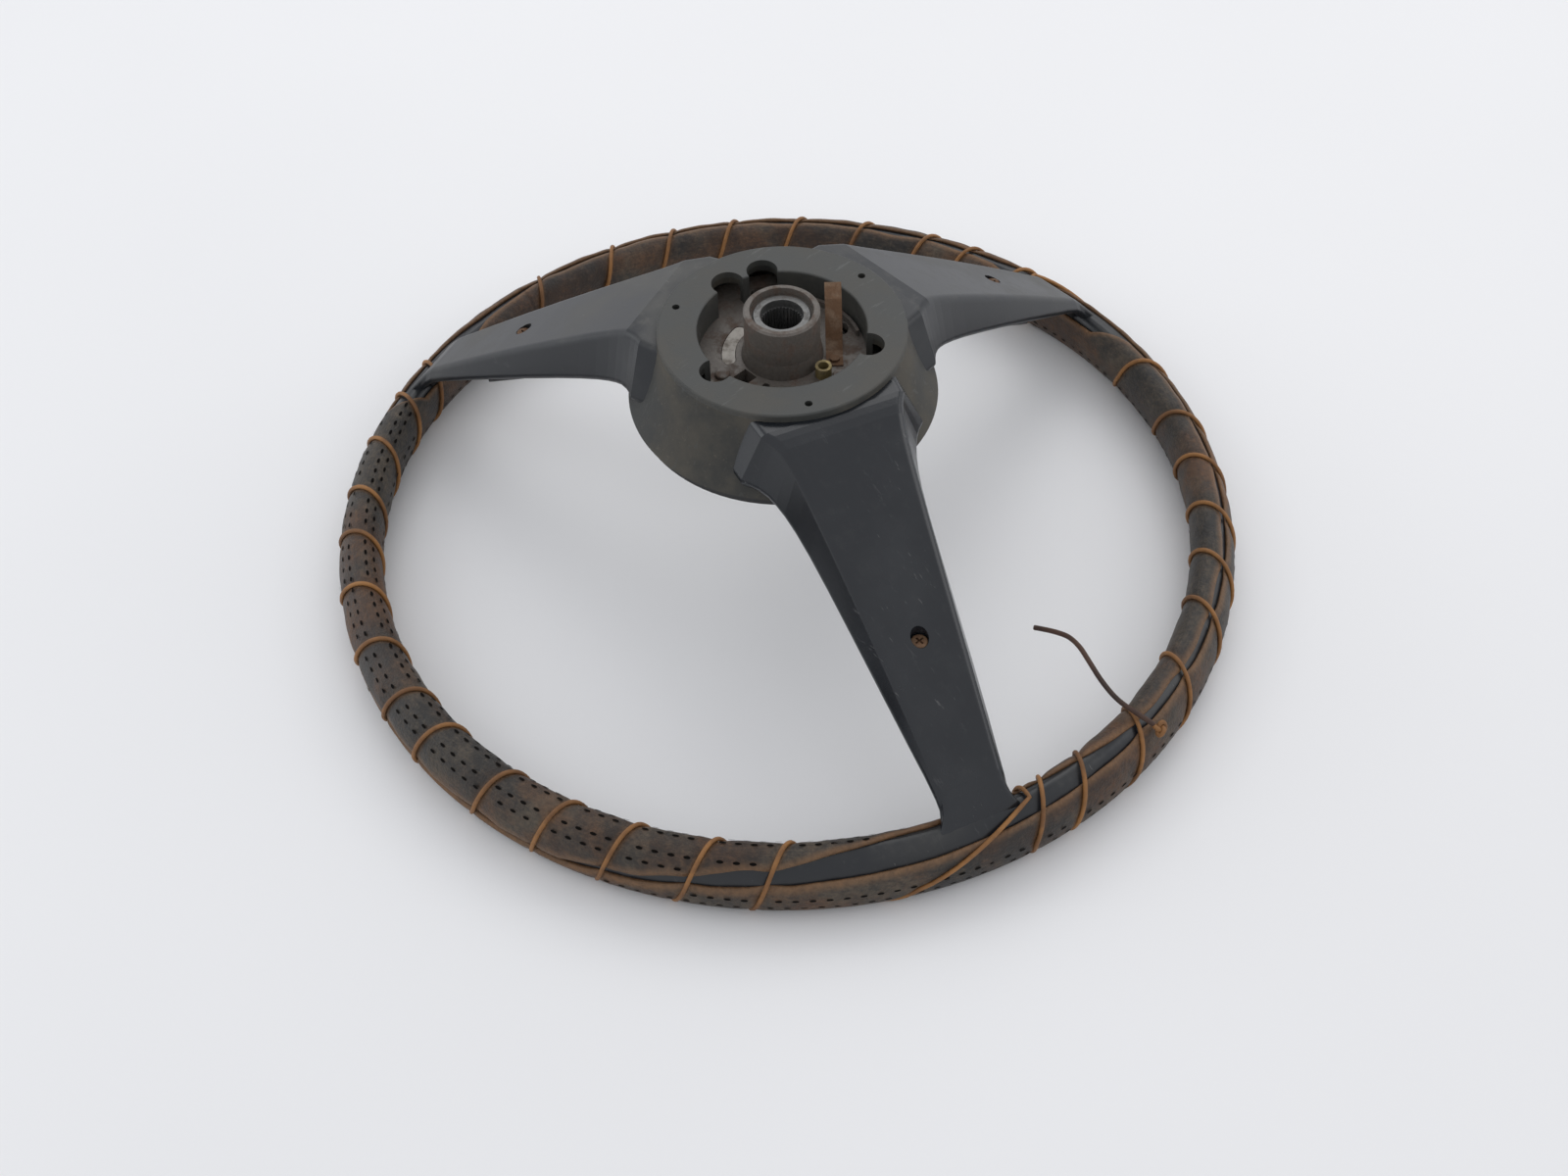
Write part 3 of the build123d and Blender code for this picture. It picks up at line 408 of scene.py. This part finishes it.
slots = perforation_tree()
print("perforation tree:", len(slots.nodes), "nodes")

# %% [markdown]
# ## Shader maths
# Wear, dust and grain are sums and products of noise.  A small class wraps a socket, so
# that `dust * 0.5 + scuff` adds its Math nodes, and one method makes any other node.

# %% Shade class
class Shade:
    """A value in a material's node tree."""

    def __init__(self, tree, socket=None):
        self.tree, self.socket = tree, socket

    def node(self, kind, inputs=None, output=0, stops=None, **settings):
        made = self.tree.nodes.new(kind)
        for name, value in settings.items():
            setattr(made, name, value)
        if stops:
            ramp = made.color_ramp
            while len(ramp.elements) < len(stops):
                ramp.elements.new(0.5)
            for element, (place, colour) in zip(ramp.elements, stops):
                element.position = place
                element.color = (*colour, 1) if hasattr(colour, "__len__") else (colour,) * 3 + (1,)
        for name, value in (inputs or {}).items():
            if isinstance(value, Shade):
                self.tree.links.new(value.socket, made.inputs[name])
            else:
                made.inputs[name].default_value = (*value, 1) if self._is_colour(made, name, value) else value
        return Shade(self.tree, made.outputs[output])

    @staticmethod
    def _is_colour(made, name, value):
        return hasattr(value, "__len__") and made.inputs[name].type == "RGBA" and len(value) == 3

    def maths(self, operation, *values, **settings):
        return self.node("ShaderNodeMath", dict(enumerate((self, *values))), operation=operation, **settings)

    def __add__(self, other): return self.maths("ADD", other)
    def __radd__(self, other): return self.maths("ADD", other)
    def __mul__(self, other): return self.maths("MULTIPLY", other)
    def __rmul__(self, other): return self.maths("MULTIPLY", other)
    def __sub__(self, other): return self.maths("SUBTRACT", other)

    def __rsub__(self, other):
        return self.node("ShaderNodeMath", {0: other, 1: self}, operation="SUBTRACT")

    def between(self, low, high):
        """0 below low, 1 above high, smooth between."""
        return self.node("ShaderNodeMapRange", {"Value": self, "From Min": low, "From Max": high},
                         interpolation_type="SMOOTHSTEP")

    def mix(self, first, second):
        """The first colour where this value is 0, the second where it is 1."""
        return self.node("ShaderNodeMix", {0: self, 6: first, 7: second}, output=2, data_type="RGBA")

    def part(self, axis):
        return self.node("ShaderNodeSeparateXYZ", {0: self}, output="XYZ".index(axis))

    def noise(self, scale, detail=3.0, roughness=0.55, stretch=None):
        place = self if stretch is None else self.node(
            "ShaderNodeMapping", {"Vector": self, "Scale": stretch})
        return self.node("ShaderNodeTexNoise", {"Vector": place, "Scale": scale, "Detail": detail,
                                                "Roughness": roughness})


def new_finish(name, recipe):
    """A material: the recipe gets the surface's coordinates and returns its sockets."""
    material = bpy.data.materials.new(name)
    material.use_nodes = True
    tree = material.node_tree
    shader = tree.nodes["Principled BSDF"]
    start = Shade(tree)
    place = start.node("ShaderNodeTexCoord", output=3)
    for socket, value in recipe(place).items():
        if isinstance(value, Shade):
            tree.links.new(value.socket, shader.inputs[socket])
        else:
            is_colour = shader.inputs[socket].type == "RGBA"
            shader.inputs[socket].default_value = (*value, 1) if is_colour else value
    return material


def bumps(place, height, depth, distance=0.001):
    return place.node("ShaderNodeBump", {"Height": height, "Strength": depth, "Distance": distance})


def facing_up(place):
    """1 on surfaces that face the ceiling, where dust settles."""
    return place.node("ShaderNodeNewGeometry", output=1).part("Z").between(0.35, 0.95)


print("shader helpers are ready")

# %% [markdown]
# ## Finishes of the black mouldings
# Spokes and rim are glossy black plastic.  Years in a store left fine dust on what faces
# up, short scratches, and a greyed bloom near the hub.  Dust and scratches lift the
# colour and the roughness together, which is what makes them read as dirt.  On the two
# far spokes the heavy dust and the grey bloom are part real dust and part a painted
# reflection of the bright room, which makes them greyer than the near spoke.

# %% Black mouldings
def black_moulding(dust_and_sheen_amount, bloom_and_sheen, gloss):
    def recipe(place):
        patches = place.noise(22, 4).between(0.42, 0.72)
        grain = place.noise(900, 2)
        fine = place.noise(160, 5, 0.7).between(0.5, 0.78)
        streaks = place.noise(60, 6, 0.75, stretch=(1.0, 5.0, 1.0)).between(0.62, 0.72)
        scratches = place.noise(240, 3, 0.6, stretch=(0.25, 2.5, 1.0)).between(0.66, 0.72) * patches
        up = facing_up(place)
        # On the far spokes this dust is partly a painted reflection of the bright room.
        dust_and_sheen = (up * (patches * 0.55 + fine * 0.45) * dust_and_sheen_amount).maths("MINIMUM", 1.0)
        # The far spokes' grey bloom colour is a painted reflection of the room.
        base = (patches * 0.6).mix((0.0085, 0.0105, 0.0135), bloom_and_sheen)
        dust_and_sheen_colour = (dust_and_sheen * 0.75).mix(base, (0.15, 0.145, 0.13))
        scuffed = (scratches * 0.55 + streaks * 0.10).mix(dust_and_sheen_colour, (0.22, 0.22, 0.21))
        return {"Base Color": scuffed,
                "Roughness": gloss + dust_and_sheen * 0.30 + scratches * 0.2 + patches * 0.08,
                "Normal": bumps(place, grain * 0.4 + scratches, 0.12, 0.0004),
                "Specular IOR Level": 0.5}
    return recipe


near_spoke_black = new_finish("near_spoke_black", black_moulding(0.14, (0.009, 0.012, 0.017), 0.22))
# The far spokes are greyer: real dust plus a painted reflection of the bright room.
far_spoke_dust_and_painted_sheen = new_finish("far_spoke_dust_and_painted_sheen", black_moulding(0.95, (0.045, 0.046, 0.044), 0.38))
rim_black = new_finish("rim_black", black_moulding(0.30, (0.012, 0.013, 0.014), 0.30))
print("three black moulding finishes")

# %% [markdown]
# ## Finishes of the hub
# The back ring is a satin black casting that has gone grey.  The shroud below it is the
# same stuff with brown grime.  The steel in the recess is dull, dusty and spotted with
# rust, the bush is bright where the shaft turned in it, and leaf and screws are rusty.

# %% Hub finishes
def worn_satin(base, dirt, dirt_amount, rough):
    def recipe(place):
        clouds = place.noise(30, 5, 0.6).between(0.38, 0.7)
        specks = place.noise(420, 4, 0.7).between(0.6, 0.72)
        scratches = place.noise(200, 3, 0.6, stretch=(2.2, 0.3, 1.0)).between(0.63, 0.7)
        grain = place.noise(1300, 2)
        colour = (clouds * dirt_amount + specks * 0.22).mix(base, dirt)
        return {"Base Color": (scratches * 0.35).mix(colour, tuple(min(1, 2.2 * c) for c in base)),
                "Roughness": rough + clouds * 0.16 - scratches * 0.1,
                "Normal": bumps(place, grain * 0.5 + specks, 0.22, 0.0004),
                "Specular IOR Level": 0.42}
    return recipe


def rusty_steel(clean, rust, amount, metal):
    def recipe(place):
        clouds = place.noise(110, 6, 0.7)
        spots = clouds.between(0.62 - 0.3 * amount, 0.78 - 0.25 * amount)
        fine = place.noise(700, 4, 0.7)
        colour = (spots * (fine * 0.6 + 0.5)).maths("MINIMUM", 1.0).mix(clean, rust)
        return {"Base Color": (fine.between(0.3, 0.8) * 0.5).mix(colour, tuple(0.5 * c for c in clean)),
                "Metallic": metal * (1 - spots),
                "Roughness": 0.42 + spots * 0.4 + fine * 0.1,
                "Normal": bumps(place, clouds + fine * 0.5, 0.35, 0.0006)}
    return recipe


ring_grey = new_finish("ring_grey", worn_satin((0.042, 0.044, 0.041), (0.105, 0.094, 0.076), 0.42, 0.46))
shroud_grime = new_finish("shroud_grime", worn_satin((0.022, 0.023, 0.021), (0.14, 0.118, 0.084), 0.40, 0.5))
dusty_steel = new_finish("dusty_steel", rusty_steel((0.13, 0.115, 0.10), (0.085, 0.05, 0.032), 0.55, 0.25))
bare_steel = new_finish("bare_steel", rusty_steel((0.20, 0.20, 0.195), (0.08, 0.06, 0.045), 0.35, 0.8))
dark_steel = new_finish("dark_steel", rusty_steel((0.05, 0.05, 0.05), (0.06, 0.04, 0.03), 0.35, 0.3))
rust_brown = new_finish("rust_brown", rusty_steel((0.16, 0.095, 0.05), (0.105, 0.048, 0.02), 0.8, 0.15))
tarnished_brass = new_finish(
    "tarnished_brass", rusty_steel((0.32, 0.25, 0.11), (0.12, 0.09, 0.05), 0.45, 0.7))


def aged_nylon(place):
    clouds = place.noise(180, 4, 0.65).between(0.4, 0.72)
    fine = place.noise(900, 3)
    return {"Base Color": clouds.mix((0.42, 0.39, 0.345), (0.17, 0.145, 0.12)),
            "Roughness": 0.5 + clouds * 0.2,
            "Normal": bumps(place, fine, 0.15, 0.0004)}


old_nylon = new_finish("old_nylon", aged_nylon)
pad_vinyl = new_finish("pad_vinyl", worn_satin((0.018, 0.019, 0.020), (0.06, 0.055, 0.05), 0.2, 0.48))
badge_satin = new_finish("badge_satin", worn_satin((0.035, 0.038, 0.042), (0.08, 0.075, 0.07), 0.15, 0.3))
print("hub finishes are ready")

# %% [markdown]
# ## Leather and lace
# The cover is nearly black where hands never rubbed it, brown where it is worn, and tan
# along cut edges and under the lace.  Its grain follows the strip, so it uses the
# cover's own map.  The lace is lighter, orange-tan and darkened in places by grease.

# %% Leather finishes
def leather_recipe(place):
    strip = place.node("ShaderNodeUVMap", uv_map="strip")
    wear = place.node("ShaderNodeAttribute", attribute_name="edge_wear", output=2)
    pores = place.node("ShaderNodeTexVoronoi", {"Vector": strip, "Scale": 90.0}, feature="F1")
    clouds = place.noise(30, 6, 0.68)
    fine = place.noise(420, 5, 0.7)
    streaks = strip.noise(14, 5, 0.7, stretch=(1.0, 6.0, 1.0))
    rubbed = (clouds * 0.6 + streaks * 0.25 + fine * 0.25).between(0.46, 0.70)
    warm = place.noise(19, 4, 0.6).between(0.44, 0.62)
    dark = warm.mix((0.018, 0.016, 0.014), (0.036, 0.020, 0.012))
    worn = warm.mix((0.105, 0.082, 0.058), (0.135, 0.068, 0.034))
    body = (rubbed * (fine * 0.8 + 0.45)).maths("MINIMUM", 1.0).mix(dark, worn)
    edged = (wear.between(0.15, 1.0) * (fine + 0.2) * 0.8).mix(body, (0.22, 0.115, 0.05))
    height = pores * 0.3 + fine * 0.7 + clouds * 0.9
    return {"Base Color": edged,
            "Roughness": 0.52 + rubbed * 0.2 - fine * 0.08,
            "Normal": bumps(place, height, 0.7, 0.0009),
            "Specular IOR Level": 0.4}


def lace_recipe(place):
    clouds = place.noise(45, 4, 0.6)
    fine = place.noise(700, 4, 0.7)
    colour = clouds.between(0.36, 0.66).mix((0.36, 0.165, 0.048), (0.17, 0.078, 0.028))
    return {"Base Color": (fine * 0.35).mix(colour, (0.05, 0.022, 0.010)),
            "Roughness": 0.52 + clouds * 0.15,
            "Normal": bumps(place, fine, 0.4, 0.0005),
            "Specular IOR Level": 0.4}


# The slots' near-black is the black rim below plus painted shade inside the hole.
def slot_recipe(place):
    fine = place.noise(600, 3)
    return {"Base Color": fine.mix((0.002, 0.0016, 0.0014), (0.006, 0.0045, 0.0035)), "Roughness": 0.9,
            "Specular IOR Level": 0.1}


old_leather = new_finish("old_leather", leather_recipe)
tan_lace = new_finish("tan_lace", lace_recipe)
tail_lace = new_finish("tail_lace", lambda place: {
    **lace_recipe(place),
    "Base Color": place.noise(60, 4).between(0.35, 0.7).mix((0.075, 0.036, 0.022), (0.03, 0.016, 0.012))})
# Flat ovals with painted shade stand in for the holes.
slot_painted_shade = new_finish("slot_painted_shade", slot_recipe)
cover.data.materials.append(old_leather)
loose_lace_end.data.materials.append(tail_lace)
print("leather, lace and slot finishes")

# %% [markdown]
# ## Wind the lace
# The line lies half sunk in the puckered leather.  The table side is pulled in, so that
# the leather and not the lace carries the wheel.

# %% Wound lace
lace_dir, lace_round = lace_lines[:, 0], lace_lines[:, 1]
sunk = np.clip(-np.sin(np.radians(lace_round)) * 2 - 0.6, 0, 1)
stand = -0.05 - 0.45 * sunk
lace_points = on_oval(cover_half_width + stand, cover_half_depth + stand, cover_middle, lace_dir, lace_round)
lace_points[:, 2] = np.maximum(lace_points[:, 2], lace_radius + 0.05 * mm)
count = len(lace_points)
lace = mesh_piece("wound_lace", lace_points, edges=[(i, (i + 1) % count) for i in range(count)])
wound_share = 0.86          # pulled tight, the lace is this much thinner
run_tree(lace, thong, {"Thong radius": lace_radius * wound_share, "Sides": 8, "Finish": tan_lace})

# %% [markdown]
# ## Tie the knot
# An overhand knot is a three-lobed loop that passes over and under itself.  The trefoil
# formula gives that line, and the thong tree gives it its thickness.

# %% Knot
knot_low, knot_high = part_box("lace_knot")
knot_middle = (knot_low + knot_high) / 2
knot_points = []
for t in np.linspace(0, tau, 60, endpoint=False):
    flat_x = (sin(t) + 2 * sin(2 * t)) * 0.95 * mm
    flat_y = (cos(t) - 2 * cos(2 * t)) * 0.95 * mm
    knot_points.append(knot_middle + Vector((0.8 * flat_x, flat_y, -sin(3 * t) * 1.1 * mm + 0.35 * flat_x)))
knot = mesh_piece("lace_knot_tied", knot_points, edges=[(i, (i + 1) % 60) for i in range(60)])
run_tree(knot, thong, {"Thong radius": lace_radius * 0.95, "Sides": 8, "Finish": tan_lace})

# %% [markdown]
# ## Punch the slots
# Two rows of slots and one plain row take turns round the strip, and every second row is
# shifted by half a step.  Over the top of the wheel, between the two side spokes, they
# cover the whole strip, elsewhere only its face side.

# %% Slots
row_angles = np.arange(-170, 190, 22.0)
slot_step = 1.9             # degrees round the wheel from one slot to the next
slot_stand, slot_stand_below = 0.22, 0.06      # slots above the leather, and where it rests
slot_places, slot_out, slot_along = [], [], []
for row, around in enumerate(row_angles):
    if row % 3 == 2:
        continue
    for direction in np.arange(0, 360, slot_step) + (slot_step / 2 if row % 2 else 0):
        whole = 28 < direction < 152
        if not whole and -10 < around < 190:
            continue
        low, high = (float(edge) for edge in seam_edges(np.array(direction)))
        inside = (around - low) % 360 > (high - low) + 9 and (around - low) % 360 < 351
        if not inside or float(lace_distance(np.array(direction), np.array(around))) < 3.0:
            continue
        nudge = slot_stand
        if -sin(radians(around)) * 2 - 0.6 > 0:
            nudge = slot_stand_below
        here = on_oval(cover_half_width + nudge, cover_half_depth + nudge, cover_middle, direction, around)
        onward = on_oval(cover_half_width, cover_half_depth, cover_middle, direction + 0.5, around)
        aside = on_oval(cover_half_width, cover_half_depth, cover_middle, direction, around + 1)
        base_point = on_oval(cover_half_width, cover_half_depth, cover_middle, direction, around)
        along_here = Vector(onward - base_point).normalized()
        out_here = Vector(aside - base_point).cross(along_here).normalized()
        if out_here.dot(Vector(base_point - on_oval(0, 0, cover_middle, direction, around))) < 0:
            out_here.negate()
        slot_places.append(here)
        slot_out.append(tuple(out_here))
        slot_along.append(tuple(along_here))
perforations = mesh_piece("cover_perforations", slot_places)
for label, values in (("facing_out", slot_out), ("along_strip", slot_along)):
    stored = perforations.data.attributes.new(label, "FLOAT_VECTOR", "POINT")
    stored.data.foreach_set("vector", np.array(values, np.float32).reshape(-1))
run_tree(perforations, slots, {"Slot length": 2.9 * mm, "Slot width": 1.3 * mm, "Finish": slot_painted_shade})

# %% [markdown]
# ## Give every solid its finish
# The solids keep their shape.  Only the material in their slot changes.

# %% Finishes on the solids
finish_of = {
    "rim_core": dark_steel, "left_spoke_strip": dark_steel, "right_spoke_strip": dark_steel,
    "lower_spoke_strip": dark_steel, "hub_plate": dusty_steel, "hub_boss": dusty_steel,
    "splined_bush": bare_steel, "plate_rivets": dusty_steel, "strip_rivets": dusty_steel,
    "insulator_ring": old_nylon, "contact_ring": tarnished_brass, "contact_sleeve": tarnished_brass,
    "cancelling_leaf": rust_brown, "leaf_rivet": rust_brown, "rim_moulding": rim_black,
    "left_spoke_moulding": far_spoke_dust_and_painted_sheen, "right_spoke_moulding": near_spoke_black,
    "lower_spoke_moulding": far_spoke_dust_and_painted_sheen, "back_ring": ring_grey, "hub_shroud": shroud_grime,
    "screw_ferrules": dark_steel, "pad_carrier": dark_steel, "horn_pad": pad_vinyl,
    "badge_disc": badge_satin, "pad_screws": rust_brown, "weld_nuts": bare_steel,
    "contact_studs": tarnished_brass, "pad_springs": bare_steel,
}
for name, finish in finish_of.items():
    nodes[name].data.materials.clear()
    nodes[name].data.materials.append(finish)
print(len(finish_of), "solids have a finish")

# %% [markdown]
# ## Hang the soft pieces on the wheel
# The cover, the lace, the knot and the loose end ride on the wheel, and the plain solids
# they stand for are hidden.  The perforations ride on the wheel too.

# %% Ride and hide the plain solids
for piece, node, slot_name in (
    (cover, "leather_cover", "brown_leather"),
    (lace, "lace_wound", "tan_lace"),
    (knot, "lace_knot", "tan_lace"),
    (loose_lace_end, "lace_tail", "tan_lace"),
):
    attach(piece, "wheel")
    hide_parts(node)
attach(perforations, "wheel")

# %% [markdown]
# ## Table and light
# A plain pale table and soft light from large panels, the way a small studio lights a
# part on a white sheet.

# %% Stage
table = mesh_piece("table", [(-3, -3, 0), (3, -3, 0), (3, 3, 0), (-3, 3, 0)], [(0, 1, 2, 3)])


def table_recipe(place):
    soft = place.noise(3, 2)
    return {"Base Color": soft.mix((0.80, 0.80, 0.80), (0.84, 0.84, 0.84)), "Roughness": 0.35 + soft * 0.1}


table.data.materials.append(new_finish("pale_table", table_recipe))


def soft_panel(name, place, size, power, colour=(1, 1, 1)):
    light = bpy.data.lights.new(name, "AREA")
    light.shape = "RECTANGLE"
    light.size, light.size_y = size
    light.energy = power
    light.color = colour
    panel = bpy.data.objects.new(name, light)
    panel.location = place
    panel.rotation_euler = (-Vector(place)).to_track_quat("-Z", "Y").to_euler()
    bpy.context.scene.collection.objects.link(panel)
    return panel


soft_panel("left_panel", (1.3, 1.0, 0.9), (1.2, 1.2), 6, (0.93, 0.97, 1.0))
soft_panel("right_panel", (-1.0, -1.5, 1.0), (1.2, 1.2), 5)
soft_panel("far_panel", (1.0, -1.3, 1.7), (2.0, 1.4), 10)
world = bpy.data.worlds.new("soft_room")
world.use_nodes = True
world.node_tree.nodes["Background"].inputs["Color"].default_value = (0.95, 0.96, 1.0, 1)
world.node_tree.nodes["Background"].inputs["Strength"].default_value = 0.80
bpy.context.scene.world = world
bpy.context.scene.view_settings.view_transform = "Standard"
print("stage is lit")
